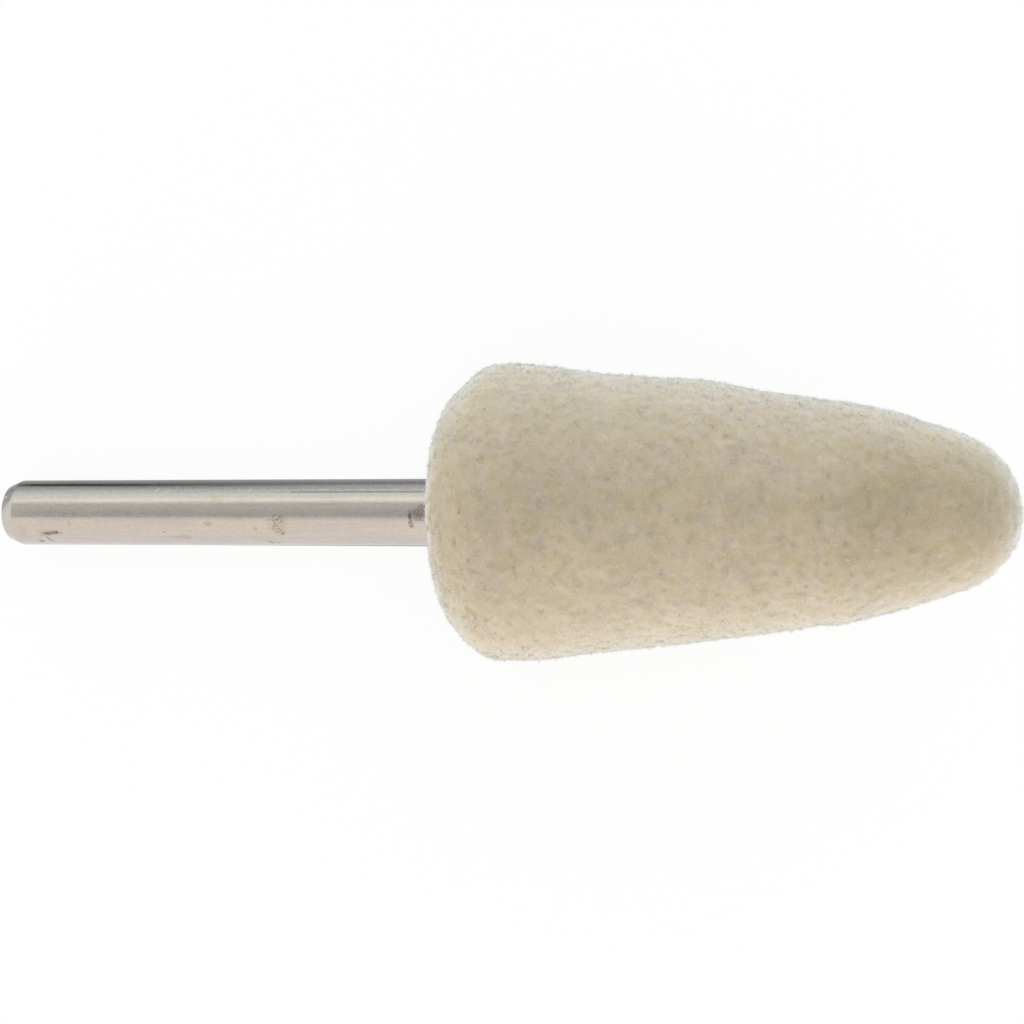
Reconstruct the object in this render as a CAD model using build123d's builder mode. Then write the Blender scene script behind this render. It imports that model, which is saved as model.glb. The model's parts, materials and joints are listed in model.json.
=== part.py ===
from build123d import *
from math import asin, atan2, cos, degrees, radians, sin, tan
import os

os.makedirs("parts", exist_ok=True)

# Felt polishing cone: a ground felt body cemented on a steel shank.
# It lies as it comes to rest, on the free end of the shank and the rim of the felt,
# with the ball nose raised. All sizes are in millimetres and all angles in degrees.
# Lengths along the tool are counted from the flat back of the felt, towards the nose.

# Felt body
felt_length = 51.4
back_radius = 10.4           # corner of the flat back and the chamfer, before it is rounded
back_rounding = 5.0
rim_depth = 4.9              # corner of the chamfer and the flank, before it is rounded
rim_radius = 14.1
rim_rounding = 4.6
flank_lean = 7.1             # between the flank and the axis
nose_length = 21.8           # rounded end, from the end of the flank to the tip
nose_radius = 7.3
rest_flat_depth = 0.12       # how far the soft rim is pressed flat where it rests

# Shank
shank_radius = 3.175
exposed_length = 44.4
end_chamfer_length = 1.2
end_chamfer_depth = 0.5

# Tail of the shank, hidden in the felt
ring_depth = 0.45            # rings turned in the tail, the first at the back of the felt
ring_width = 1.4
knurl_band_length = 12.5     # each of the knurled bands that follow the rings
knurl_band_count = 2
knurl_count = 24
knurl_depth = 0.28
knurl_angle = 90.0
tail_chamfer = 0.7

# Bore and cement
cement_gap = 0.2             # all round the tail
cement_recess = 0.4          # from the back of the felt down to the cement
drill_point_angle = 118.0

# Shoulder arc that joins the flank to the ball nose, tangent to both
flank_direction = Vector(cos(radians(flank_lean)), -sin(radians(flank_lean)))
flank_normal = Vector(sin(radians(flank_lean)), cos(radians(flank_lean)))
flank_end_depth = felt_length - nose_length
flank_end = Vector(
    flank_end_depth,
    rim_radius - (flank_end_depth - rim_depth) * tan(radians(flank_lean)),
)
nose_centre = felt_length - nose_radius
nose_to_flank_end = flank_end - Vector(nose_centre, 0)
shoulder_radius = (nose_to_flank_end.length**2 - nose_radius**2) / (
    2 * (nose_to_flank_end.dot(flank_normal) - nose_radius)
)
shoulder_centre = flank_end - flank_normal * shoulder_radius
nose_start_angle = degrees(atan2(-shoulder_centre.Y, nose_centre - shoulder_centre.X))

# Rounded rim: centre of its arc, between the chamfer and the flank
chamfer_slope = degrees(atan2(rim_radius - back_radius, rim_depth))
rim_half_turn = (chamfer_slope + flank_lean) / 2
rim_tangent_length = rim_rounding * tan(radians(rim_half_turn))
rim_corner = Vector(rim_depth, rim_radius)
rim_arc_centre = rim_corner + flank_direction * rim_tangent_length - flank_normal * rim_rounding

# Rest pose: the floor touches the corner of the shank's end chamfer and the rounded rim
shank_corner = Vector(end_chamfer_length - exposed_length, shank_radius)
corner_to_rim = rim_arc_centre - shank_corner
rest_tilt = degrees(
    atan2(corner_to_rim.Y, corner_to_rim.X)
    + asin((rim_rounding - rest_flat_depth) / corner_to_rim.length)
)
tilt_cos = cos(radians(rest_tilt))
tilt_sin = sin(radians(rest_tilt))
end_radius = shank_radius - end_chamfer_depth
lowest_x = -exposed_length * tilt_cos - end_radius * tilt_sin
highest_x = nose_centre * tilt_cos + nose_radius
back_centre = Vector(
    -(lowest_x + highest_x) / 2,
    0,
    shank_radius * tilt_cos - shank_corner.X * tilt_sin,
)
tool_direction = Vector(tilt_cos, 0, tilt_sin)
tool_axis = Axis(back_centre, tool_direction)
# Half sections are drawn in this plane: along the tool, and out from its axis
section = Plane(origin=back_centre, x_dir=tool_direction, z_dir=(0, -1, 0))

# Tail and bore
band_pitch = knurl_band_length + ring_width
tail_length = knurl_band_count * band_pitch + tail_chamfer
tail_radius = shank_radius - ring_depth
bore_radius = shank_radius + cement_gap
bore_depth = tail_length + cement_gap
bore_bottom = bore_depth + bore_radius / tan(radians(drill_point_angle / 2))


def bore_outline(mouth):
    """Half section of the drilled bore, inwards from the given depth."""
    Polyline(
        (mouth, 0),
        (mouth, bore_radius),
        (bore_depth, bore_radius),
        (bore_bottom, 0),
        close=True,
    )


# Steel shank: turned, chamfered at its free end, ringed and knurled along its tail
with BuildPart() as shank:
    with BuildSketch(section):
        with BuildLine():
            points = [
                (-exposed_length, 0),
                (-exposed_length, end_radius),
                (shank_corner.X, shank_radius),
                (0, shank_radius),
            ]
            for band in range(knurl_band_count):
                ring_start = band * band_pitch
                points += [
                    (ring_start, tail_radius),
                    (ring_start + ring_width, tail_radius),
                    (ring_start + ring_width, shank_radius),
                    (ring_start + band_pitch, shank_radius),
                ]
            points += [
                (tail_length, shank_radius - tail_chamfer),
                (tail_length, 0),
            ]
            Polyline(*points, close=True)
        make_face()
    revolve(axis=tool_axis)

    # Knurl: straight V grooves, from the end of the tail to the first ring
    knurl_half_width = knurl_depth * tan(radians(knurl_angle / 2))
    tail_end = Plane(
        origin=back_centre + tool_direction * tail_length,
        x_dir=(0, 1, 0),
        z_dir=tool_direction,
    )
    with BuildSketch(tail_end):
        with PolarLocations(shank_radius, knurl_count):
            Polygon(
                (-knurl_depth, 0),
                (knurl_depth, -2 * knurl_half_width),
                (knurl_depth, 2 * knurl_half_width),
                align=None,
            )
    extrude(amount=-(tail_length - ring_width / 2), mode=Mode.SUBTRACT)

# Felt body: flat back, chamfer, rounded rim, straight flank, shoulder arc and ball nose
with BuildPart() as felt_body:
    with BuildSketch(section) as felt_section:
        with BuildLine():
            Polyline((0, 0), (0, back_radius), rim_corner, flank_end)
            nose = CenterArc((nose_centre, 0), nose_radius, 0, nose_start_angle)
            TangentArc(flank_end, nose @ 1, tangent=flank_direction)
            Line((felt_length, 0), (0, 0))
        make_face()
        corners = felt_section.vertices()
        fillet(corners.sort_by_distance((0, back_radius))[0], back_rounding)
        corners = felt_section.vertices()
        fillet(corners.sort_by_distance(rim_corner)[0], rim_rounding)
    revolve(axis=tool_axis)
    with BuildSketch(section):
        with BuildLine():
            bore_outline(0)
        make_face()
    revolve(axis=tool_axis, mode=Mode.SUBTRACT)
    # Small flat that the rim is pressed to where it lies on the floor
    split(bisect_by=Plane.XY, keep=Keep.TOP)

# Cement: the cured film that fills the bore round the knurled tail
with BuildPart() as cement:
    with BuildSketch(section):
        with BuildLine():
            bore_outline(cement_recess)
        make_face()
    revolve(axis=tool_axis)
    add(shank.part, mode=Mode.SUBTRACT)

# The turned and ground faces of the felt are kept as splines, which divide into even facets
felt_body.part = felt_body.part.to_splines()
felt_body.part.label = "felt_body"
shank.part.label = "shank"
cement.part.label = "cement"
export_step(felt_body.part, "parts/felt_body.step")
export_step(shank.part, "parts/shank.step")
export_step(cement.part, "parts/cement.step")

gripped_middle = back_centre + tool_direction * (shank_corner.X / 2)
print(f"rest tilt {rest_tilt:.3f}, shoulder radius {shoulder_radius:.2f}")
print(f"middle of the plain shank {tuple(gripped_middle)}, its axis {tuple(-tool_direction)}")
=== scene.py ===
import json
from math import atan2, cos, pi, radians, sin, tan
import bpy
import numpy as np
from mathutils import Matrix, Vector, noise
from mathutils.bvhtree import BVHTree


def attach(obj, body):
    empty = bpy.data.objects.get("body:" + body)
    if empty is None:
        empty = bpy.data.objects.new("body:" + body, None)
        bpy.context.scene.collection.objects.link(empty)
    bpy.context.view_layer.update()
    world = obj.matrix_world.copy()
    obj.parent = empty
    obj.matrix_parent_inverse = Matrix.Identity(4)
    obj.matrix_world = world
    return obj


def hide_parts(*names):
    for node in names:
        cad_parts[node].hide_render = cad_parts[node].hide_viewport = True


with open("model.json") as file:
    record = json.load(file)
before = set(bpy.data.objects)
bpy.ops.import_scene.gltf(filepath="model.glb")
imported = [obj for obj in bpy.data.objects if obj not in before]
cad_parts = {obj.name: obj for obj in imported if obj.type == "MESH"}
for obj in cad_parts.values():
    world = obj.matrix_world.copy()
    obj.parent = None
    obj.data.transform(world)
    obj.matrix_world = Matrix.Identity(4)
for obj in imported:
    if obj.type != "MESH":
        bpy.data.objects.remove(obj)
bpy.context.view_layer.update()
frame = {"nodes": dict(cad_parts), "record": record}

mm = 0.001
rng = np.random.default_rng(20)

# The tool's own directions and the middle of the felt's back, from the shank's mount.
# Depths along the tool are counted from that back, towards the nose.
mount = frame["record"]["mounts"][0]
forward = -Vector(mount["axis"]).normalized()
across = Vector((0, 1, 0))
upward = forward.cross(across)
back = Vector(mount["pos_m"]) + forward * (mount["dims"]["length_mm"] / 2 * mm)
tilt = atan2(forward.z, forward.x)
# The same as arrays, for sums over many points
back_row, forward_row, across_row, upward_row = (np.array(v) for v in (back, forward, across, upward))


def new_object(name, data):
    """Object in the scene that shows the given data."""
    thing = bpy.data.objects.new(name, data)
    bpy.context.scene.collection.objects.link(thing)
    return thing


# Camera straight above the tool. The picture is 1024 pixels wide.
picture_size = 1024
focal_pixels = 1680.5
sensor_width = 36.0
camera_place = Vector((2.714, 0.055, 169.5)) * mm
camera_data = bpy.data.cameras.new("camera")
camera_data.sensor_width = sensor_width
camera_data.lens = focal_pixels / picture_size * sensor_width
camera_data.clip_start = 0.01
camera_data.clip_end = 10
camera = new_object("camera", camera_data)
camera.location = camera_place
bpy.context.scene.camera = camera


def surface_tree(node):
    """Tree of a CAD node's faces, for casting rays at it."""
    mesh = frame["nodes"][node].data
    return BVHTree.FromPolygons([v.co for v in mesh.vertices], [p.vertices for p in mesh.polygons])


felt_tree = surface_tree("felt_body")
shank_tree = surface_tree("shank")


def under_pixel(tree, pixel):
    """Point of the surface that the camera sees at a pixel of the picture."""
    half = picture_size / 2
    direction = Vector((pixel[0] - half, half - pixel[1], -focal_pixels)).normalized()
    return tree.ray_cast(camera_place, direction)[0]


def on_axis(depth):
    """Point of the tool's axis at a depth, as an array."""
    return np.array(back + forward * depth)


def new_piece(name, points, faces, material, normals=None):
    """Mesh object from points and from arrays of faces, each of faces with the same number of corners.

    Shading normals can be given for its points."""
    mesh = bpy.data.meshes.new(name)
    points = np.asarray(points, np.float32)
    faces = [np.asarray(f, np.int32) for f in faces]
    mesh.vertices.add(len(points))
    mesh.vertices.foreach_set("co", points.ravel())
    mesh.loops.add(sum(f.size for f in faces))
    mesh.loops.foreach_set("vertex_index", np.concatenate([f.ravel() for f in faces]))
    sizes = np.concatenate([np.full(len(f), f.shape[1]) for f in faces])
    mesh.polygons.add(len(sizes))
    mesh.polygons.foreach_set("loop_start", np.concatenate([[0], np.cumsum(sizes)[:-1]]).astype(np.int32))
    mesh.polygons.foreach_set("use_smooth", np.ones(len(sizes), bool))
    mesh.update(calc_edges=True)
    mesh.validate()
    if normals is not None:
        mesh.normals_split_custom_set_from_vertices(np.asarray(normals, np.float32))
    mesh.materials.append(material)
    piece = new_object(name, mesh)
    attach(piece, "root")
    return piece


def grid_faces(rows, columns):
    """Quads between rings of points. Each ring closes on itself."""
    i, j = np.meshgrid(np.arange(rows - 1), np.arange(columns), indexing="ij")
    k = (j + 1) % columns
    quads = np.stack([i * columns + j, i * columns + k, (i + 1) * columns + k, (i + 1) * columns + j], -1)
    return quads.reshape(-1, 4)


def cap_faces(rows, columns):
    """Triangles that close both ends of the rings, each round a pole. The poles come after all the rings."""
    j = np.arange(columns)
    k = (j + 1) % columns
    last = (rows - 1) * columns
    pole = rows * columns
    first_cap = np.stack([k, j, np.full(columns, pole)], -1)
    last_cap = np.stack([last + j, last + k, np.full(columns, pole + 1)], -1)
    return np.concatenate([first_cap, last_cap])


class Nodes:
    """Node tree, with short ways to add nodes and join them."""

    def __init__(self, tree):
        self.tree = tree

    def add(self, kind, inputs=None, **settings):
        """New node. Its inputs take values or the outputs of other nodes."""
        node = self.tree.nodes.new(kind)
        for key, value in settings.items():
            setattr(node, key, value)
        for key, value in (inputs or {}).items():
            self.set(node.inputs[key], value)
        return node

    def set(self, socket, value):
        """Give an input a value, or join the output of another node to it."""
        if isinstance(value, bpy.types.NodeSocket):
            self.tree.links.new(value, socket)
        elif isinstance(value, (tuple, list)) and socket.type == "RGBA" and len(value) == 3:
            socket.default_value = (*value, 1)
        else:
            socket.default_value = value

    def math(self, operation, *values):
        return self.add("ShaderNodeMath", dict(enumerate(values)), operation=operation).outputs[0]

    def times(self, product, *others):
        """Product of two or more values."""
        for other in others:
            product = self.math("MULTIPLY", product, other)
        return product

    def vector(self, operation, *values):
        return self.add("ShaderNodeVectorMath", dict(enumerate(values)), operation=operation)

    def ramp(self, value, low, high, to_low=0.0, to_high=1.0, kind="SMOOTHSTEP"):
        """Step of a value from low to high, a smooth one unless another kind is asked for."""
        inputs = {"Value": value, "From Min": low, "From Max": high, "To Min": to_low, "To Max": to_high}
        return self.add("ShaderNodeMapRange", inputs, interpolation_type=kind).outputs[0]

    def mix(self, factor, a, b, kind="MIX"):
        node = self.add("ShaderNodeMix", data_type="RGBA", blend_type=kind)
        self.set(node.inputs[0], factor)
        self.set(node.inputs[6], a)
        self.set(node.inputs[7], b)
        return node.outputs[2]

    def grey(self, value):
        """Colour whose three parts are all the value."""
        return self.add("ShaderNodeCombineColor", {0: value, 1: value, 2: value}).outputs[0]

    def split(self, vector):
        """The X, Y and Z of a vector, by name."""
        return self.add("ShaderNodeSeparateXYZ", {0: vector}).outputs


class Shader(Nodes):
    """Node tree of a new material, whose patterns lie along the tool."""

    def __init__(self, name):
        self.material = bpy.data.materials.new(name)
        self.material.use_nodes = True
        super().__init__(self.material.node_tree)
        self.bsdf = self.tree.nodes["Principled BSDF"]
        self.object_place = self.add("ShaderNodeTexCoord").outputs["Object"]
        tool = self.add("ShaderNodeMapping", {0: self.object_place}, vector_type="TEXTURE")
        tool.inputs["Location"].default_value = back
        tool.inputs["Rotation"].default_value = (0, -tilt, 0)
        self.place = tool.outputs[0]
        self.noises = {}

    def surface(self, **inputs):
        """Values for the surface, by the names of its inputs with _ for each space."""
        for name, value in inputs.items():
            self.set(self.bsdf.inputs[name.replace("_", " ")], value)

    def end_with(self, shader):
        """Show the output of another shader node in place of the surface."""
        self.set(self.tree.nodes["Material Output"].inputs["Surface"], shader)

    def noise(self, size, detail=3.0, roughness=0.55, distortion=0.0, stretch=None):
        """Noise whose features are about size metres, stretched by a factor along each axis."""
        key = (size, detail, roughness, distortion, stretch)
        if key not in self.noises:
            place = self.place
            if stretch:
                place = self.vector("MULTIPLY", place, [1 / s for s in stretch]).outputs[0]
            inputs = {"Vector": place, "Scale": 1 / size, "Detail": detail, "Roughness": roughness,
                      "Distortion": distortion}
            self.noises[key] = self.add("ShaderNodeTexNoise", inputs).outputs["Fac"]
        return self.noises[key]

    def tint(self, colour, where, share, towards):
        """Colour that takes on a share of another one in some places."""
        return self.mix(self.times(where, share), colour, towards)

    def shaded(self, colour, shade):
        """Colour made darker or lighter by a shade round 1."""
        return self.mix(1.0, colour, self.grey(shade), "MULTIPLY")

    def spot(self, middle, half_length, half_width, ragged=0.35, size=0.4 * mm):
        """1 inside a ragged spot round a point of the surface, and 0 outside it."""
        offset = middle - back
        local = Vector((offset.dot(forward), offset.dot(across), offset.dot(upward)))
        away = self.vector("SUBTRACT", self.place, local).outputs[0]
        scaled = self.vector("MULTIPLY", away, (1 / half_length, 1 / half_width, 1 / half_width)).outputs[0]
        distance = self.vector("LENGTH", scaled).outputs["Value"]
        uneven = self.math("MULTIPLY_ADD", self.noise(size, 2), 4 * ragged, -2 * ragged)
        return self.ramp(self.math("ADD", distance, uneven), 1.30, 0.40)

    def bump(self, height, strength, distance, below=None):
        """Normal for a height, on top of the bumps below it if there are any."""
        inputs = {"Height": height, "Strength": strength, "Distance": distance}
        if below:
            inputs["Normal"] = below
        return self.add("ShaderNodeBump", inputs).outputs[0]


# Colours of the wool, and the painted shade, darker and yellower, that the back of the felt is multiplied by
wool_tan = (0.480, 0.403, 0.292)
wool_pale = (0.535, 0.468, 0.365)
wool_grey = (0.500, 0.424, 0.355)
wool_yellow = (0.482, 0.412, 0.268)
wool_worn = (0.400, 0.330, 0.210)
wool_dark_spot = (0.130, 0.100, 0.070)
back_shade_tone = (0.955, 0.915, 0.830)

# The working end, which is darker and yellower from use: pixel of its middle, half length and half width
worn_pixel = (938, 512)
worn_half_length = 11.0 * mm
worn_half_width = 6.6 * mm

# Marks on the felt: pixel of the picture, and half length and half width in pixels
felt_pixel = 0.094 * mm
dark_spot_share = 0.40
felt_dark_spots = {
    "speck_low_middle": ((634, 554), 1.6, 1.2),
    "speck_low_nose": ((808, 583), 1.4, 1.8),
    "speck_nose": ((943, 536), 1.5, 1.1),
    "speck_rim": ((520, 436), 1.1, 1.6),
    # A darker spot on the felt where the shank meets it
    "joint_dark_spot": ((428, 516), 2.0, 3.4),
}


def felt_colour(shader, strands):
    """Colour of pressed wool, with its patches, its worn end, a few specks, a darker spot by the shank and
    painted shade at its back.
    """
    patches = shader.ramp(shader.noise(1.7 * mm, 5, 0.64, 0.6), 0.38, 0.64)
    greys = shader.ramp(shader.noise(1.1 * mm, 3, 0.56, 0.9, (1.5, 1, 1)), 0.42, 0.66)
    yellows = shader.ramp(shader.noise(1.6 * mm, 3, 0.56, 0.7), 0.47, 0.69)
    clouds = shader.ramp(shader.noise(3.6 * mm, 3, 0.6, 0.5), 0.40, 0.62)
    colour = shader.mix(patches, wool_tan, wool_pale)
    worn_middle = under_pixel(felt_tree, worn_pixel)
    worn = shader.spot(worn_middle, worn_half_length, worn_half_width, 0.25, 3.0 * mm)
    colour = shader.tint(colour, worn, 0.68, wool_worn)
    colour = shader.tint(colour, clouds, 0.50, wool_yellow)
    # The working end is also less patchy
    colour = shader.tint(colour, greys, shader.ramp(worn, 0, 1, 0.80, 0.50), wool_grey)
    colour = shader.tint(colour, yellows, shader.ramp(worn, 0, 1, 0.60, 0.35), wool_yellow)
    # Painted shade: the back is made a little darker and yellower, standing in for less light falling there
    depth = shader.split(shader.place)["X"]
    colour = shader.mix(shader.ramp(depth, 6.5 * mm, 2.5 * mm), colour, back_shade_tone, "MULTIPLY")
    # Strands, grain and slow changes that show lighter and darker
    shade = shader.math("ADD", shader.ramp(strands, 0.30, 0.70, 0.97, 1.03),
                        shader.ramp(shader.noise(7 * mm, 2, 0.5), 0.3, 0.7, -0.03, 0.03))
    grain = shader.noise(0.13 * mm, 2, 0.6)
    shade = shader.math("ADD", shade, shader.ramp(grain, 0.30, 0.70, -0.07, 0.07))
    colour = shader.shaded(colour, shade)
    for pixel, half_length, half_width in felt_dark_spots.values():
        mark = shader.spot(under_pixel(felt_tree, pixel), half_length * felt_pixel, half_width * felt_pixel)
        colour = shader.tint(colour, mark, dark_spot_share, wool_dark_spot)
    return colour


def felt_material(name, loose=None):
    """Pressed wool, or the loose fibres of its nap: these take on a share of a paler colour."""
    shader = Shader(name)
    strands = shader.noise(0.28 * mm, 3, 0.65, 2.2)
    colour = felt_colour(shader, strands)
    if loose:
        share, pale = loose
        colour = shader.mix(share, colour, pale)
    shader.surface(
        Base_Color=colour,
        Roughness=shader.ramp(strands, 0.2, 0.8, 0.86, 0.98),
        Specular_IOR_Level=0.18,
        Sheen_Weight=0.95,
        Sheen_Roughness=0.45,
        Sheen_Tint=(0.92, 0.97, 1.0),
        Subsurface_Weight=0.8 if loose else 0.7,
        Subsurface_Radius=(1.0, 0.9, 0.75),
        Subsurface_Scale=(0.06 if loose else 0.35) * mm,
    )
    if not loose:
        soft = shader.bump(shader.noise(0.9 * mm, 3, 0.6, 0.8), 0.10, 0.12 * mm)
        shader.surface(Normal=shader.bump(shader.noise(0.22 * mm, 3, 0.7, 1.2), 0.26, 0.04 * mm, soft))
    return shader.material


felt_look = felt_material("pressed_wool")
fibre_look = felt_material("loose_wool", (0.09, (0.92, 0.905, 0.86)))
tuft_look = felt_material("tufted_wool", (0.90, (0.90, 0.745, 0.52)))

# Felt body: its outline is read from the CAD felt with rays cast at it from outside.
# A fan of rays covers the back, parallel rays the flank, and a second fan the ball nose.
# Each ray has the depth that it is aimed at, and a turn: 0 from behind the tool, pi from beyond its nose.
back_spine = 6.0 * mm
nose_spine = 44.1 * mm
first_turn = radians(34)
last_turn = radians(178.5)
fan_rays = 46
flank_rays = 140
ray_start = 60 * mm
rays = [(back_spine, turn) for turn in np.linspace(first_turn, pi / 2, fan_rays, endpoint=False)]
rays += [(depth, pi / 2) for depth in np.linspace(back_spine, nose_spine, flank_rays, endpoint=False)]
rays += [(nose_spine, turn) for turn in np.linspace(pi / 2, last_turn, fan_rays)]
ray_turns = np.array([turn for _, turn in rays])
# The outline is the mean over these angles from the top. The underside has a flat spot, so it is left out.
sample_angles = np.linspace(radians(-75), radians(75), 11)

felt_columns = 400
felt_turns = np.arange(felt_columns) * 2 * pi / felt_columns
around = np.cos(felt_turns)[:, None] * upward_row + np.sin(felt_turns)[:, None] * across_row
felt_rings = []
felt_directions = []
for depth, turn in rays:
    spine = back + forward * depth
    distances = []
    for angle in sample_angles:
        outwards = upward * cos(angle) + across * sin(angle)
        direction = outwards * sin(turn) - forward * cos(turn)
        hit = felt_tree.ray_cast(spine + direction * ray_start, -direction)[0]
        distances.append((hit - spine).length)
    directions = around * sin(turn) - forward_row * cos(turn)
    felt_rings.append(np.array(spine) + directions * np.mean(distances))
    felt_directions.append(directions)
felt_rings = np.array(felt_rings)
felt_directions = np.array(felt_directions)
ring_depths = ((felt_rings - back_row) @ forward_row).mean(1)

# Uneven surface of the felt, and the small bumps of its pile, which show more in the outline than in
# the shading: height and width of each kind of bump in mm, and its place in the noise
felt_bumps = ((0.100, 8.0, (0, 0, 0)), (0.100, 2.4, (7, 3, 1)), (0.035, 1.0, (1, 8, 4)))
pile_bumps = ((0.120, 0.75, (5, 2, 9)), (0.070, 1.3, (2, 6, 3)))
# Where the ground outline swells and sinks: depth along the tool, and how far on the +Y and the -Y side
swells = np.array([
    (0, -0.02, -0.32), (0.9, 0.08, -0.12), (2, 0.02, 0.04), (4, 0.12, 0.20), (6, -0.08, -0.26),
    (8, -0.03, -0.12), (10, 0.08, 0.07), (13, 0, 0), (16, -0.08, 0), (18, 0.09, 0.02), (20, 0.12, 0.04),
    (22, 0.21, -0.07), (24, 0.28, -0.06), (26, 0.20, -0.12), (28, -0.10, -0.13), (30, -0.09, -0.20),
    (32, -0.16, -0.26), (34, -0.07, -0.23), (36, -0.02, 0.03), (38, 0.08, 0.05), (40, 0.07, -0.02),
    (42, 0.04, -0.05), (44, 0.07, -0.10), (46, 0.06, -0.10), (48, 0.07, 0.01), (50, 0.04, 0.03),
    (51.4, 0.16, 0.15),
]) * mm
# The pressed mass ends a little inside the outline, which the nap fills: depth, and how far inside
trims = np.array([(0, 0.10), (1.5, 0.22), (3.6, 0.20), (5.6, 0.08), (8, 0.06), (51.4, 0.02)]) * mm
# How far the back of the felt is askew, and how far its upper part stands out.
# Both fade out over the fade, and are gone on the rays that turn further than the end.
askew = 0.22 * mm
back_rise = 0.18 * mm
back_end = radians(64)
back_fade = radians(14)
# The surface is even round the mouth of the bore, out to this radius, and wholly uneven past the fade
even_radius = 3.9 * mm
even_fade = 1.6 * mm
# The shading follows smoother rings, with a share of the relief and no pile, and only a little the real ones
smooth_relief = 0.5
smooth_share = 0.92


def bump_height(point, kinds):
    """Height in metres of the given kinds of bumps at a point."""
    return mm * sum(
        height * noise.noise(point / (width * mm) + Vector(shift)) for height, width, shift in kinds
    )


def bump_heights(kinds):
    """Height in metres of the given kinds of bumps at each point of the felt's rings."""
    return np.array([[bump_height(Vector(point), kinds) for point in ring] for ring in felt_rings])


relief = bump_heights(felt_bumps) - np.interp(ring_depths, trims[:, 0], trims[:, 1])[:, None]
pile = bump_heights(pile_bumps)
across_share = 0.5 + 0.5 * np.sin(felt_turns)[None]
relief += np.interp(ring_depths, swells[:, 0], swells[:, 1])[:, None] * across_share
relief += np.interp(ring_depths, swells[:, 0], swells[:, 2])[:, None] * (1 - across_share)
back_share = np.clip((back_end - ray_turns) / back_fade, 0, 1)[:, None]
relief += back_share * (askew * np.sin(felt_turns) + back_rise * np.maximum(np.cos(felt_turns), 0) ** 2)
axis_distance = np.linalg.norm(np.cross(felt_rings - back_row, forward_row), axis=-1)
uneven = np.clip((axis_distance - even_radius) / even_fade, 0, 1)
uneven = np.where(ring_depths[:, None] < nose_spine, uneven, 1)
smooth_rings = felt_rings + felt_directions * (smooth_relief * relief * uneven)[..., None]
felt_rings = felt_rings + felt_directions * ((relief + pile) * uneven)[..., None]

# Drilled bottom of the bore, its wall and its rounded mouth: depth and radius of each ring, outwards
bore_radius = 3.40 * mm
bore_depth = 28.72 * mm
bore_bottom = 30.75 * mm
mouth = [
    (bore_depth, bore_radius), (0.60 * mm, bore_radius),
    (0.22 * mm, 3.44 * mm), (0.05 * mm, 3.56 * mm),
]
mouth_rings = np.array([on_axis(depth) + around * radius for depth, radius in mouth])
felt_rings = np.concatenate([mouth_rings, felt_rings])
smooth_rings = np.concatenate([mouth_rings, smooth_rings])
felt_points = felt_rings.reshape(-1, 3)
felt_points[:, 2] = np.maximum(felt_points[:, 2], 0)
nose_pole = felt_points[-felt_columns:].mean(0) + forward_row * 0.004 * mm
felt_points = np.concatenate([felt_points, [on_axis(bore_bottom), nose_pole]])
felt_quads = grid_faces(len(felt_rings), felt_columns)
felt_caps = cap_faces(len(felt_rings), felt_columns)


def ring_normals(rings):
    """Outward normals of a surface given as rings of points."""
    lengthways = np.gradient(rings, axis=0)
    round_way = np.roll(rings, -1, axis=1) - np.roll(rings, 1, axis=1)
    normals = np.cross(round_way, lengthways)
    normals /= np.linalg.norm(normals, axis=-1, keepdims=True)
    outwards = np.einsum("ijk,ijk->ij", normals, rings - rings.mean(1, keepdims=True))
    return normals * np.sign(np.median(outwards[len(rings) // 2]))


felt_normals = smooth_share * ring_normals(smooth_rings) + (1 - smooth_share) * ring_normals(felt_rings)
felt_normals = np.concatenate([felt_normals.reshape(-1, 3), [-forward_row, forward_row]])
felt_faces = [felt_quads[:, ::-1], felt_caps[:, ::-1]]
felt = new_piece("felt", felt_points, felt_faces, felt_look, felt_normals)
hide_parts("felt_body")

# Nap: loose wool fibres that lie on the felt and stand a little proud of it.
# They grow from its outer faces, which come after those of the bore.
outer_faces = felt_quads[felt_columns * len(mouth):]
face_corners = felt_points[outer_faces]
face_middle = face_corners.mean(1)
face_normal = np.cross(face_corners[:, 2] - face_corners[:, 0], face_corners[:, 3] - face_corners[:, 1])
face_area = np.linalg.norm(face_normal, axis=1)
face_normal /= face_area[:, None]
felt_inside = on_axis(20 * mm)
face_normal *= np.sign(np.median(np.einsum("ij,ij->i", face_normal, face_middle - felt_inside)))
face_depth = (face_middle - back_row) @ forward_row
# How thick the nap grows at each face, up to 1, in patches of about this size
growth_size = 0.7 * mm
face_growth = np.array([noise.noise(Vector(p) / growth_size) for p in face_middle])
face_growth = np.clip(0.5 + 0.9 * face_growth, 0.02, 1)

# Depths just outside the back and just past the nose
nap_start = -1 * mm
nap_end = 52 * mm
# Fibres keep this gap off the floor, and stay out of the mouth of the bore: its radius and its depth
floor_gap = 0.02 * mm
mouth_radius = 3.6 * mm
mouth_depth = 1 * mm
# Turns of the three sides of a fibre, and how many stretches a long one has
fibre_sides = (0, 2 * pi / 3, 4 * pi / 3)
fibre_joints = 5
# Lengths of the fuzz in mm: the shortest, how much longer it is on average, and the longest
fuzz_shortest = 0.05
fuzz_extra = 0.085
fuzz_longest = 0.45
# Tufts: how many fibres each has, the least and most radius in mm, and the height of the tallest by depth
tuft_fibres = 20
tuft_radius = (0.10, 0.17)
tuft_heights = np.array([(2, 0.68), (14, 0.64), (28, 0.58), (40, 0.51), (50, 0.38)]) * mm


def unit(vectors):
    """Vectors of length 1 with the same directions."""
    return vectors / np.linalg.norm(vectors, axis=-1, keepdims=True)


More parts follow.
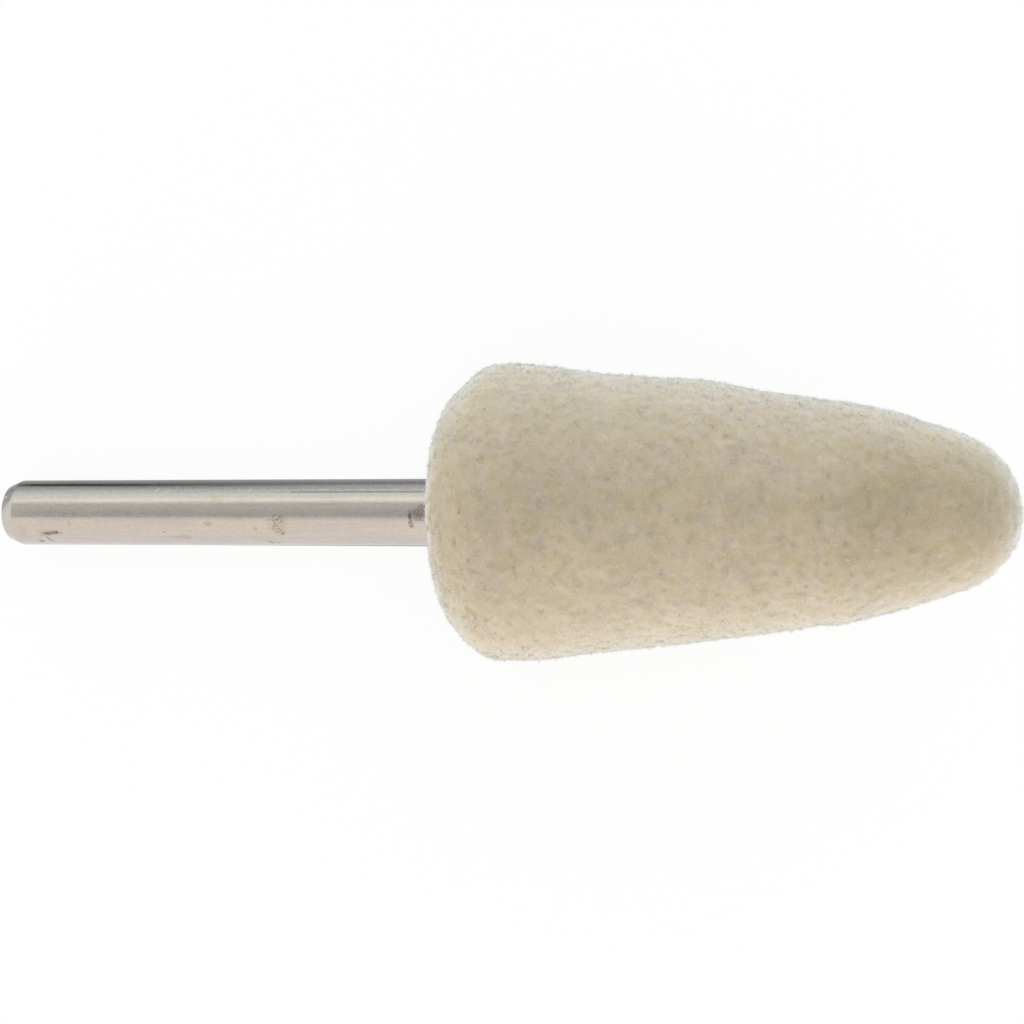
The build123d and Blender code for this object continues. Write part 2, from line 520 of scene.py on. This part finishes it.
def roots(count, near, far, together=1):
    """Places on the felt between two depths, with their normals, a sideways direction and a size.

    They can come in tufts of so many together, the tallest in the middle of each tuft."""
    chance = face_area * ((face_depth >= near) & (face_depth < far)) * (0.35 + face_growth)
    chosen = rng.choice(len(outer_faces), count // together, p=chance / chance.sum())
    base = np.einsum("ij,ijk->ik", rng.dirichlet((1, 1, 1, 1), len(chosen)), face_corners[chosen])
    chosen, base = np.repeat(chosen, together), np.repeat(base, together, axis=0)
    count = len(chosen)
    normal = face_normal[chosen]
    size = (0.6 + 0.8 * face_growth[chosen])[:, None]
    if together > 1:
        wide = np.repeat(rng.uniform(*tuft_radius, (count // together, 1)), together, axis=0) * mm
        spread = rng.normal(0, 1, (count, 3)) * wide
        spread -= normal * np.einsum("ij,ij->i", spread, normal)[:, None]
        base = base + spread
        height = np.repeat(0.3 + 0.7 * rng.uniform(0, 1, (count // together, 1)) ** 1.5, together, axis=0)
        size = height * np.exp(-np.einsum("ij,ij->i", spread, spread)[:, None] / (1.5 * wide) ** 2)
    side = unit(np.cross(normal, unit(rng.normal(size=(count, 3)))))
    return base, normal, side, size


def clear_of_floor_and_shank(points):
    """Which fibres keep off the floor and out of the mouth of the bore."""
    local = points - back_row
    radial = np.linalg.norm(np.cross(local, forward_row), axis=-1)
    in_mouth = ((radial < mouth_radius) & (local @ forward_row < mouth_depth)).any(1)
    return (points[..., 2].min(1) > floor_gap) & ~in_mouth


def repeated(points, faces):
    """The same faces for each of many fibres, numbered for all their points in one list."""
    count, each = points.shape[:2]
    triangles = np.array(faces)[None] + (np.arange(count) * each)[:, None, None]
    return points.reshape(-1, 3), triangles.reshape(-1, 3)


def sides_round(middle, along, normal, radius):
    """Three points round each middle, at a radius from the line that runs along it."""
    first = unit(np.cross(along, normal + 0.01))
    second = np.cross(along, first)
    return [middle + (first * cos(turn) + second * sin(turn)) * radius for turn in fibre_sides]


def spikes(base, normal, heading, length, thick, shake):
    """Short straight fibres with pointed tips: points, triangles and shading normals.

    They are shaded mostly like the felt under them, because wool lets light through."""
    radius = rng.uniform(*thick, (len(base), 1)) * mm
    root = base - normal * 0.02 * mm
    tip = base + heading * length
    points = np.stack(sides_round(root, heading, normal[:, [1, 2, 0]], radius) + [tip], 1)
    normals = unit(normal + shake * rng.normal(size=(len(base), 3)))
    kept = clear_of_floor_and_shank(points)
    faces = [(0, 2, 1), (0, 1, 3), (1, 2, 3), (2, 0, 3)]
    return *repeated(points[kept], faces), np.repeat(normals[kept], 4, axis=0)


def fuzz(count, near, far):
    """Short fibres that stand on the felt at all angles."""
    base, normal, side, size = roots(count, near, far)
    length = np.minimum(fuzz_shortest + rng.exponential(fuzz_extra, (count, 1)), fuzz_longest) * mm * size
    rise = np.radians(rng.uniform(15, 85, (count, 1)))
    heading = side * np.cos(rise) + normal * np.sin(rise)
    return spikes(base, normal, heading, length, thick=(0.010, 0.019), shake=0.25)


def tufts(count):
    """Tufts of pale fibres all over the felt, taller towards its back."""
    base, normal, side, size = roots(count, nap_start, nap_end, tuft_fibres)
    tallest = np.interp((base - back_row) @ forward_row, tuft_heights[:, 0], tuft_heights[:, 1])
    length = 0.05 * mm + size * rng.uniform(0.75, 1.0, size.shape) * tallest[:, None]
    rise = np.radians(rng.uniform(50, 90, size.shape))
    heading = side * np.cos(rise) + normal * np.sin(rise)
    return spikes(base, normal, heading, length, thick=(0.010, 0.017), shake=0.20)


def fibre_faces(rings):
    """Triangles of a fibre with a number of rings of three points between its two pointed ends."""
    faces = []
    last = 1 + 3 * (rings - 1)
    for k in range(3):
        n = (k + 1) % 3
        faces += [(0, 1 + n, 1 + k), (1 + 3 * rings, last + k, last + n)]
        for r in range(rings - 1):
            a, b = 1 + 3 * r, 4 + 3 * r
            faces += [(a + k, a + n, b + n), (a + k, b + n, b + k)]
    return faces


def fibres(count, near, far, length, lift, radius, curl, droop):
    """Longer curved fibres, pointed at both ends: points, triangles and shading normals."""
    base, normal, side, _ = roots(count, near, far)
    size = rng.uniform(*length, count)[:, None]
    rise = np.radians(rng.uniform(*lift, count))[:, None]
    heading = unit(side * np.cos(rise) + normal * np.sin(rise))
    bend = unit(np.cross(normal, side)) * rng.normal(0, curl, (count, 1))
    sink = 2.0 * np.sin(rise) / fibre_joints
    path = [base - normal * 0.03 * mm]
    for _ in range(fibre_joints):
        path.append(path[-1] + heading * size / fibre_joints)
        heading = unit(heading + bend / fibre_joints - normal * sink * droop)
    path = np.array(path)
    thick = rng.uniform(*radius, count)[None, :, None]
    taper = np.sin(np.linspace(0.25, 0.80, fibre_joints - 1) * pi)[:, None, None] * 0.5 + 0.5
    sides = np.stack(sides_round(path[1:-1], unit(path[2:] - path[:-2]), normal[None], thick * taper), 2)
    rings = sides.transpose(1, 0, 2, 3).reshape(count, -1, 3)
    points = np.concatenate([path[0][:, None], rings, path[-1][:, None]], 1)
    kept = clear_of_floor_and_shank(points)
    points = points[kept]
    normals = np.repeat(normal[kept], points.shape[1], axis=0)
    return *repeated(points, fibre_faces(fibre_joints - 1)), normals


def nap_piece(name, near, far, short):
    """One zone of the nap: fuzz, longer fibres that lie on the surface, and a few that stray."""
    lying = {"length": (0.7 * mm, 1.5 * mm), "lift": (1, 7), "radius": (0.008 * mm, 0.012 * mm),
             "curl": 0.9, "droop": 1.25}
    straying = {"length": (0.5 * mm, 0.9 * mm), "lift": (25, 50), "radius": (0.006 * mm, 0.009 * mm),
                "curl": 1.2, "droop": 1.0}
    layers = [fuzz(short, near, far), fibres(250, near, far, **lying), fibres(60, near, far, **straying)]
    starts = np.cumsum([0] + [len(points) for points, _, _ in layers])
    points = np.concatenate([points for points, _, _ in layers])
    triangles = np.concatenate([triangles + start for (_, triangles, _), start in zip(layers, starts)])
    normals = np.concatenate([normals for _, _, normals in layers])
    new_piece(name, points, [triangles], fibre_look, normals)


# Zones of the nap: where each starts and ends along the tool, and how many short fibres it has
nap_zones = {
    "nap_back": (nap_start, 7 * mm, 34000),
    "nap_rim": (7 * mm, 17 * mm, 30000),
    "nap_flank": (17 * mm, 27 * mm, 27500),
    "nap_shoulder": (27 * mm, 38 * mm, 26500),
    "nap_nose": (38 * mm, nap_end, 24000),
}
for zone, (zone_start, zone_end, short_fibres) in nap_zones.items():
    nap_piece(zone, zone_start, zone_end, short_fibres)
tuft_points, tuft_triangles, tuft_normals = tufts(32000)
new_piece("nap_tufts", tuft_points, [tuft_triangles], tuft_look, tuft_normals)

# Shank: the turned form of the CAD shank with its edges slightly broken
shank_radius = 3.175 * mm
exposed = 44.4 * mm
chamfer_length = 1.2 * mm
chamfer_depth = 0.5 * mm
ring_depth = 0.45 * mm
ring_width = 1.4 * mm
band_length = 12.5 * mm
band_count = 2
tail_chamfer = 0.7 * mm
knurl_count = 24
knurl_depth = 0.28 * mm
knurl_half_angle = radians(45)
# Radius of the innermost ring on each end face, and the step that long stretches of the shank are divided by
face_radius = 0.9 * mm
shank_step = 2.2 * mm
end_radius = shank_radius - chamfer_depth
tail_radius = shank_radius - ring_depth
band_pitch = ring_width + band_length
tail_length = band_count * band_pitch + tail_chamfer

# Outline of the shank: depth along the tool, radius, and how far an edge is broken there
shank_corners = [
    (-exposed, face_radius, 0), (-exposed, end_radius, 0.14 * mm),
    (-exposed + chamfer_length, shank_radius, 0.22 * mm), (0, shank_radius, 0.01 * mm),
]
for band in range(band_count):
    start = band * band_pitch
    shank_corners += [
        (start, tail_radius, 0.05 * mm), (start + ring_width, tail_radius, 0.05 * mm),
        (start + ring_width, shank_radius, 0.03 * mm), (start + band_pitch, shank_radius, 0.03 * mm),
    ]
shank_corners += [(tail_length, shank_radius - tail_chamfer, 0.05 * mm), (tail_length, face_radius, 0)]


def broken_edges(corners):
    """Outline through corners, whose edges are rounded off over the length given for each."""
    places = [Vector((depth, radius)) for depth, radius, _ in corners]
    outline = []
    for number, (here, (_, _, cut)) in enumerate(zip(places, corners)):
        if not cut:
            outline.append(here)
            continue
        start = here + (places[number - 1] - here).normalized() * cut
        end = here + (places[number + 1] - here).normalized() * cut
        for t in (0, 0.25, 0.5, 0.75, 1):
            outline.append(start * (1 - t) ** 2 + here * 2 * t * (1 - t) + end * t**2)
    return outline


def divided(outline, step):
    """The same outline with points added, so that each stretch is less than two steps long."""
    finer = [outline[0]]
    for start, end in zip(outline, outline[1:]):
        count = max(1, int((end - start).length / step))
        finer += [start.lerp(end, (n + 1) / count) for n in range(count)]
    return finer


outline = divided(broken_edges(shank_corners), shank_step)

# Eight columns of points for each knurl groove, one of them at its bottom
pitch = 2 * pi / knurl_count
groove_half = knurl_depth * tan(knurl_half_angle) / shank_radius
offsets = np.array([0, 0.5 * groove_half, groove_half, (groove_half + pitch / 2) / 2, pitch / 2])
offsets = np.concatenate([offsets, pitch - offsets[-2:0:-1]])
shank_turns = (np.arange(knurl_count)[:, None] * pitch + offsets[None]).ravel()
groove_cut = np.maximum(0, knurl_depth - np.minimum(offsets, pitch - offsets) * shank_radius)
groove_cut = np.tile(groove_cut, knurl_count)
shank_around = np.cos(shank_turns)[:, None] * across_row + np.sin(shank_turns)[:, None] * upward_row
shank_columns = len(shank_turns)
shank_rings = []
for point in outline:
    # The grooves run out in the middle of the first ring
    knurled = point.x > ring_width / 2
    radius = np.minimum(point.y, shank_radius - groove_cut) if knurled else np.full(shank_columns, point.y)
    shank_rings.append(on_axis(point.x) + shank_around * radius[:, None])
shank_poles = [on_axis(outline[0].x), on_axis(outline[-1].x)]
shank_points = np.concatenate([*shank_rings, shank_poles])
shank_faces = [grid_faces(len(outline), shank_columns), cap_faces(len(outline), shank_columns)]

# Marks on the steel: pixel of the picture, half length and half width in pixels, how dark, and their colour
steel_pixel = 0.098 * mm
tan_stain = (0.36, 0.27, 0.18)
dark_stain = (0.10, 0.085, 0.07)
rust_stain = (0.14, 0.09, 0.06)
steel_marks = {
    "smear_left": ((48, 533.5), 5.6, 2.5, 0.85, (0.115, 0.085, 0.06)),
    "smear_right": ((56, 532.5), 3.8, 2.6, 0.90, (0.10, 0.08, 0.06)),
    "smear_tail": ((42, 534.5), 5.0, 1.6, 0.40, tan_stain),
    "smear_end": ((61, 533), 1.8, 1.2, 0.6, dark_stain),
    "smear_haze": ((48, 532), 13.0, 3.6, 0.26, tan_stain),
    "low_smear": ((42, 541), 3.8, 1.8, 0.7, dark_stain),
    "ring_mark": ((69, 523), 2.8, 3.4, 0.34, tan_stain),
    "left_haze": ((22, 531), 7.0, 6.5, 0.20, (0.42, 0.32, 0.20)),
    "end_nick": ((12, 490), 2.0, 1.8, 0.70, dark_stain),
    "tan_low": ((183, 537), 11.0, 3.4, 0.34, tan_stain),
    "tan_middle": ((209, 524), 5.5, 3.0, 0.42, tan_stain),
    "tan_highlight": ((216, 500), 8.0, 4.5, 0.24, (0.50, 0.36, 0.20)),
    "fleck": ((164, 532), 1.8, 1.6, 0.36, dark_stain),
    "fleck_left": ((128, 526), 1.6, 1.2, 0.30, tan_stain),
    "rust_left": ((256, 529), 1.8, 2.6, 0.50, tan_stain),
    "rust_haze": ((278, 526), 10.0, 11.0, 0.34, tan_stain),
    "dot_high": ((410, 515.5), 2.0, 4.2, 0.92, dark_stain),
    "dot_low": ((411, 524), 2.4, 4.2, 0.75, (0.16, 0.12, 0.09)),
    # A darker patch on the shank where it meets the felt
    "joint_darkening": ((419, 514), 9.5, 8.0, 0.72, (0.18, 0.145, 0.12)),
}
# Clusters of fine rusty specks, given in the same way
steel_specks = {
    "rust_high": ((276, 519), 8.0, 4.5, 0.62, rust_stain),
    "rust_middle": ((276, 528), 6.0, 3.4, 0.80, rust_stain),
    "rust_low": ((281, 533), 5.0, 3.0, 0.70, rust_stain),
    "rust_edge": ((274, 542), 8.0, 2.4, 1.00, dark_stain),
    "left_specks": ((63, 514), 22.0, 3.0, 0.26, dark_stain),
    "middle_specks": ((120, 514), 30.0, 3.4, 0.22, dark_stain),
    "fine_specks": ((235, 517), 26.0, 4.0, 0.22, dark_stain),
}
# Scratches: the two pixels that each joins, its half width in pixels, and how light it is, or dark below 0
steel_scratches = {
    "diagonal": ((46, 536), (55, 542), 0.9, -0.8),
    "light_a": ((156, 492), (160, 487), 0.45, 0.5),
    "light_b": ((165, 493), (170, 488), 0.40, 0.4),
    "light_c": ((176, 488), (180, 484), 0.45, 0.5),
    "light_d": ((249, 492), (253, 487), 0.50, 0.5),
    "light_e": ((378, 504), (378, 507), 0.50, 0.4),
}
# For each pixel of its half width: how far out a scratch ends, and how far out it starts to fade
scratch_end = 0.15 * mm
scratch_fade = 0.06 * mm
scratch_light = (0.88, 0.88, 0.86)
scratch_dark = (0.25, 0.22, 0.19)
# Scuffs: length and width of their strokes, and their colours
stroke_length = 0.36 * mm
stroke_width = 0.15 * mm
scuff_light = (0.88, 0.88, 0.86)
scuff_dark = (0.20, 0.19, 0.18)
# Dark line along the shank: how far round the shank it is from the top, towards +Y
dark_line_turn = radians(37.4)
dark_line_colour = (0.20, 0.20, 0.19)


def scuffs(shader, along, turn):
    """Where the shank is scuffed, along its +Y side, and the slanting strokes of the scuffs.

    The third of the shank next to its free end has none."""
    round_way = shader.times(turn, shank_radius)
    strokes = []
    for lean in (radians(66), radians(118)):
        lengthways = shader.math("MULTIPLY_ADD", along, cos(lean), shader.times(round_way, sin(lean)))
        sideways = shader.math("MULTIPLY_ADD", along, -sin(lean), shader.times(round_way, cos(lean)))
        flat = shader.add("ShaderNodeCombineXYZ", {
            0: shader.times(lengthways, 1 / stroke_length), 1: shader.times(sideways, 1 / stroke_width),
        }).outputs[0]
        stroke = shader.add("ShaderNodeTexNoise", {"Vector": flat, "Scale": 1.0, "Detail": 1.5})
        strokes.append(stroke.outputs["Fac"])
    stroke = shader.math("ADD", shader.times(strokes[0], 0.65), shader.times(strokes[1], 0.35))
    scuffed = shader.times(
        shader.ramp(turn, radians(33), radians(42)),
        shader.ramp(turn, radians(95), radians(75)),
        shader.ramp(along, -31 * mm, -27.5 * mm),
        shader.ramp(shader.noise(0.9 * mm, 3, 0.6, 0.5), 0.36, 0.62, 0.15, 1.0),
    )
    return scuffed, stroke


def dark_line_along_shank(shader, along, turn):
    """Thin dark line along the half of the shank that is next to the felt."""
    beside = shader.math("ABSOLUTE", shader.math("SUBTRACT", turn, dark_line_turn))
    return shader.times(
        shader.ramp(beside, radians(3.0), radians(0.8)),
        shader.ramp(along, -19 * mm, -12 * mm),
        shader.ramp(shader.noise(0.30 * mm, 3, 0.7, 0.4, (3, 1, 1)), 0.25, 0.50),
    )


def scratch(shader, start, end, half_width):
    """1 on the line between two pixels of the shank, and 0 off it."""
    a, b = under_pixel(shank_tree, start), under_pixel(shank_tree, end)
    run = b - a
    away = shader.vector("SUBTRACT", shader.object_place, (a + b) / 2).outputs[0]
    along = shader.vector("DOT_PRODUCT", away, run.normalized()).outputs["Value"]
    whole = shader.vector("LENGTH", away).outputs["Value"]
    square = shader.math("SUBTRACT", shader.times(whole, whole), shader.times(along, along))
    beside = shader.math("SQRT", shader.math("MAXIMUM", square, 0.0))
    return shader.times(
        shader.ramp(beside, half_width * scratch_end, half_width * scratch_fade),
        shader.ramp(shader.math("ABSOLUTE", along), run.length * 0.5, run.length * 0.35),
    )


def steel_material():
    """Ground steel with a satin face, fine marks of the wheel and stains from use."""
    shader = Shader("ground_steel")
    lengthwise = shader.noise(0.16 * mm, 3, 0.6, 0, (26, 1, 1))
    speckle = shader.noise(0.22 * mm, 3, 0.7, 0.5, (2.0, 1, 1))
    cloud = shader.noise(2.4 * mm, 3, 0.6, 0.4, (2.2, 1, 1))
    waves = shader.noise(0.48 * mm, 3, 0.6, 0.6, (1.5, 1, 1))
    colour = shader.mix(shader.ramp(cloud, 0.35, 0.70), (0.605, 0.552, 0.500), (0.572, 0.530, 0.487))
    colour = shader.shaded(colour, shader.math(
        "ADD", shader.ramp(speckle, 0.25, 0.75, 0.93, 1.05), shader.ramp(lengthwise, 0.3, 0.7, -0.03, 0.03)))
    rough = shader.math(
        "ADD", shader.ramp(cloud, 0.3, 0.7, 0.11, 0.16), shader.ramp(speckle, 0.3, 0.7, -0.02, 0.05))
    height = shader.math("ADD", shader.times(lengthwise, 0.25), speckle)
    height = shader.math("MULTIPLY_ADD", waves, 3.2, height)

    # Scuffs and the dark line along the shank
    parts = shader.split(shader.place)
    turn = shader.math("ARCTAN2", parts["Y"], parts["Z"])
    scuffed, stroke = scuffs(shader, parts["X"], turn)
    light = shader.times(scuffed, shader.ramp(stroke, 0.50, 0.62))
    dark = shader.times(scuffed, shader.ramp(stroke, 0.50, 0.38))
    colour = shader.tint(colour, light, 0.20, scuff_light)
    colour = shader.tint(colour, dark, 0.24, scuff_dark)
    rough = shader.math("MULTIPLY_ADD", scuffed, 0.05, rough)
    height = shader.math("MULTIPLY_ADD", shader.times(scuffed, stroke), 1.6, height)
    colour = shader.tint(colour, dark_line_along_shank(shader, parts["X"], turn), 0.62, dark_line_colour)

    # Stains, specks, scratches and the darker patch by the felt
    grain = shader.ramp(shader.noise(0.20 * mm, 3, 0.7, 0.8, (1.8, 1, 1)), 0.32, 0.58, 0.25, 1.0)
    dots = shader.ramp(shader.noise(0.19 * mm, 3, 0.65, 0.3, (1.2, 1, 1)), 0.47, 0.62)
    for marks, texture in ((steel_marks, grain), (steel_specks, dots)):
        for pixel, half_length, half_width, darkness, mark_colour in marks.values():
            place = under_pixel(shank_tree, pixel)
            mark = shader.spot(place, half_length * steel_pixel, half_width * steel_pixel)
            mark = shader.times(mark, shader.times(texture, darkness))
            colour = shader.mix(mark, colour, mark_colour)
            rough = shader.math("MULTIPLY_ADD", mark, 0.25, rough)
    for start, end, half_width, lightness in steel_scratches.values():
        target = scratch_light if lightness > 0 else scratch_dark
        colour = shader.tint(colour, scratch(shader, start, end, half_width), abs(lightness), target)
    shader.surface(
        Base_Color=colour, Metallic=1, Roughness=rough, Normal=shader.bump(height, 0.35, 0.006 * mm),
    )
    return shader.material


steel_shank = new_piece("steel_shank", shank_points, shank_faces, steel_material())
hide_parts("shank")


def cement_material():
    """Dull amber cement with bubbles and uneven cure."""
    shader = Shader("cured_cement")
    cure = shader.noise(1.2 * mm, 4, 0.6, 0.5)
    bubbles = shader.ramp(shader.noise(0.35 * mm, 2, 0.6, 1.0), 0.58, 0.66)
    colour = shader.mix(shader.ramp(cure, 0.3, 0.7), (0.36, 0.22, 0.085), (0.47, 0.33, 0.16))
    shader.surface(
        Base_Color=shader.tint(colour, bubbles, 0.5, (0.24, 0.13, 0.05)),
        Roughness=shader.ramp(cure, 0.3, 0.7, 0.42, 0.62),
        Normal=shader.bump(shader.noise(0.5 * mm, 4, 0.6, 0.6), 0.5, 0.05 * mm),
    )
    return shader.material


cement = frame["nodes"]["cement"]
cement.data.materials.clear()
cement.data.materials.append(cement_material())

# Floor: plain and pale, just under the tool. What the camera and polished metal see of it is whitened,
# and it keeps the shadow.
floor_reach = 1.5
floor_drop = 0.02 * mm
white_share = 0.88
floor_corners = [(x * floor_reach, y * floor_reach, 0) for x, y in ((-1, -1), (1, -1), (1, 1), (-1, 1))]
floor_mesh = bpy.data.meshes.new("floor")
floor_mesh.from_pydata(floor_corners, [], [(0, 1, 2, 3)])
floor = new_object("floor", floor_mesh)
floor.location.z = -floor_drop
floor_shader = Shader("pale_floor")
floor_shader.surface(Base_Color=(0.95, 0.95, 0.95), Roughness=0.9, Specular_IOR_Level=0.1)
light_path = floor_shader.add("ShaderNodeLightPath").outputs
seen = floor_shader.math("MAXIMUM", light_path["Is Camera Ray"], light_path["Is Glossy Ray"])
white = floor_shader.add("ShaderNodeEmission", {"Color": (1, 1, 1), "Strength": 1.0})
whitened = floor_shader.add("ShaderNodeMixShader", {
    0: floor_shader.times(seen, white_share), 1: floor_shader.bsdf.outputs[0], 2: white.outputs[0],
})
floor_shader.end_with(whitened.outputs[0])
floor_mesh.materials.append(floor_shader.material)

# Flag: a card in shades of grey on the floor, fanning out from where the shank points. Its shades glow and
# are painted reflection, standing in for the shadow on the floor beside the shank.
# Only polished metal sees it, and it gives the shank its dark line.
flag_corner = Vector((-59.7, 5.0, 0.05)) * mm
flag_tone = (0.95, 1.01, 1.06)
# Bearing of each of its lines from the +X axis, and the shades along the lines at each distance
flag_lines = (-16, -6, 2, 8, 12, 16.5, 20, 23, 28, 34, 41, 52, 75, 105, 125, 145, 165, 185)
flag_rows = [
    (4 * mm, (.60, .54, .50, .48, .46, .46, .46, .46, .46, .46, .48, .50, .54, .60, .62, .62, .62, .66)),
    (9 * mm, (.60, .54, .50, .48, .46, .46, .46, .46, .46, .46, .48, .50, .54, .60, .62, .62, .62, .66)),
    (13 * mm, (.60, .52, .44, .39, .36, .24, .08, .04, .04, .07, .22, .48, .54, .58, .58, .56, .58, .62)),
    (18 * mm, (.60, .52, .44, .39, .36, .24, .08, .04, .04, .07, .22, .48, .54, .56, .50, .50, .52, .60)),
    (28 * mm, (.60, .52, .44, .39, .36, .28, .17, .14, .14, .18, .28, .42, .54, .60, .56, .52, .54, .62)),
    (46 * mm, (.60, .54, .48, .44, .40, .31, .28, .31, .40, .48, .52, .54, .56, .62, .64, .56, .58, .66)),
    (62 * mm, (.60, .56, .52, .50, .42, .28, .20, .28, .46, .58, .64, .64, .60, .62, .72, .62, .66, .78)),
    (320 * mm, (.64, .60, .56, .54, .48, .34, .28, .36, .52, .60, .66, .66, .60, .62, .80, .82, .86, .92)),
]
flag_points = []
flag_shades = []
for distance, row_shades in flag_rows:
    for bearing, shade in zip(flag_lines, row_shades):
        away = Vector((cos(radians(bearing)), sin(radians(bearing)), 0))
        flag_points.append(flag_corner + away * distance)
        flag_shades.append(shade)
columns = len(flag_lines)
flag_faces = [(r * columns + c, r * columns + c + 1, (r + 1) * columns + c + 1, (r + 1) * columns + c)
              for r in range(len(flag_rows) - 1) for c in range(columns - 1)]
flag_mesh = bpy.data.meshes.new("reflection_flag")
flag_mesh.from_pydata(flag_points, [], flag_faces)
shades = flag_mesh.color_attributes.new("shade", "FLOAT_COLOR", "POINT")
for entry, shade in zip(shades.data, flag_shades):
    entry.color = (*(tone * shade for tone in flag_tone), 1)
reflection_flag = new_object("reflection_flag", flag_mesh)
reflection_flag.visible_camera = False
reflection_flag.visible_diffuse = False
reflection_flag.visible_shadow = False
reflection_flag.visible_transmission = False
# Painted reflection: the card glows with painted shades of the floor's shadow
flag_shader = Shader("painted_reflection_card")
card_colour = flag_shader.add("ShaderNodeAttribute", attribute_name="shade").outputs["Color"]
card = flag_shader.add("ShaderNodeEmission", {"Color": card_colour, "Strength": 1.0})
flag_shader.end_with(card.outputs[0])
flag_mesh.materials.append(flag_shader.material)

# Studio: a tent of soft light. Its colour changes with the angle round the X axis, from the floor
# on the -Y side, over the top, to the floor on the +Y side.
tent_bands = [
    (-90, (1.00, 0.96, 0.92)), (-38, (0.99, 0.95, 0.91)), (-28, (0.94, 0.91, 0.87)),
    (-20, (0.76, 0.74, 0.71)), (-13, (0.54, 0.53, 0.52)), (0, (0.54, 0.56, 0.55)),
    (22, (0.64, 0.66, 0.64)), (35, (0.66, 0.68, 0.66)), (43, (1.04, 1.07, 1.01)),
    (51, (1.21, 1.25, 1.18)), (59, (0.98, 0.98, 0.96)), (70, (0.92, 0.97, 0.99)),
    (84, (0.72, 0.78, 0.82)), (95, (0.64, 0.69, 0.74)),
]
past_floor = (0.93, 0.93, 0.93)
world = bpy.data.worlds.new("light_tent")
bpy.context.scene.world = world
world.use_nodes = True
tent = Nodes(world.node_tree)
parts = tent.split(tent.add("ShaderNodeTexCoord").outputs["Generated"])
angle_round = tent.ramp(tent.math("ARCTAN2", parts["Y"], parts["Z"]), -pi, pi, kind="LINEAR")
bands = tent.add("ShaderNodeValToRGB", {0: angle_round})
while len(bands.color_ramp.elements) < len(tent_bands):
    bands.color_ramp.elements.new(0.5)
for element, (angle, colour) in zip(bands.color_ramp.elements, tent_bands):
    element.position = (angle + 180) / 360
    element.color = (*colour, 1)
# The end of the tent beyond the nose is dimmer than the end behind the shank
at_ends = tent.ramp(tent.math("ABSOLUTE", parts["X"]), 0.62, 0.90)
end_shade = tent.ramp(parts["X"], -0.5, 0.5, 0.98, 0.20, kind="LINEAR")
tent_colour = tent.mix(at_ends, bands.outputs["Color"], tent.grey(end_shade))
# The camera sees plain white where it looks past the floor
to_camera = tent.add("ShaderNodeLightPath").outputs["Is Camera Ray"]
background = tent.tree.nodes["Background"]
tent.set(background.inputs["Color"], tent.mix(to_camera, tent_colour, past_floor))
tent.set(background.inputs["Strength"], 1.06)


def soft_lamp(name, bearing, elevation, distance, width, height, power, colour):
    """Wide lamp that faces the tool, with its bearing from the +X axis and its elevation in degrees.

    It lights the wool, and polished metal doesn't mirror it."""
    lamp_data = bpy.data.lights.new(name, "AREA")
    lamp_data.shape = "RECTANGLE"
    lamp_data.size = width
    lamp_data.size_y = height
    lamp_data.energy = power
    lamp_data.color = colour
    lamp = new_object(name, lamp_data)
    bearing, elevation = radians(bearing), radians(elevation)
    out = Vector((cos(bearing) * cos(elevation), sin(bearing) * cos(elevation), sin(elevation)))
    lamp.location = out * distance + Vector((0, 0, 12 * mm))
    lamp.rotation_euler = out.to_track_quat("Z", "Y").to_euler()
    lamp.visible_camera = False
    lamp.visible_glossy = False


soft_lamp("lamp_front", -90, 6, 0.5, 0.6, 0.10, 1.17, (1.0, 0.95, 0.87))
soft_lamp("lamp_back", 90, 6, 0.5, 0.6, 0.10, 0.85, (0.86, 0.95, 1.0))
soft_lamp("lamp_left", 180, 8, 0.5, 0.4, 0.10, 0.08, (1.0, 0.98, 0.95))
soft_lamp("lamp_right", 0, 8, 0.5, 0.4, 0.10, 0.34, (1.0, 0.98, 0.95))
soft_lamp("lamp_top", 0, 90, 0.8, 0.8, 0.8, 1.35, (1.0, 0.99, 0.97))

bpy.context.scene.view_settings.view_transform = "Standard"
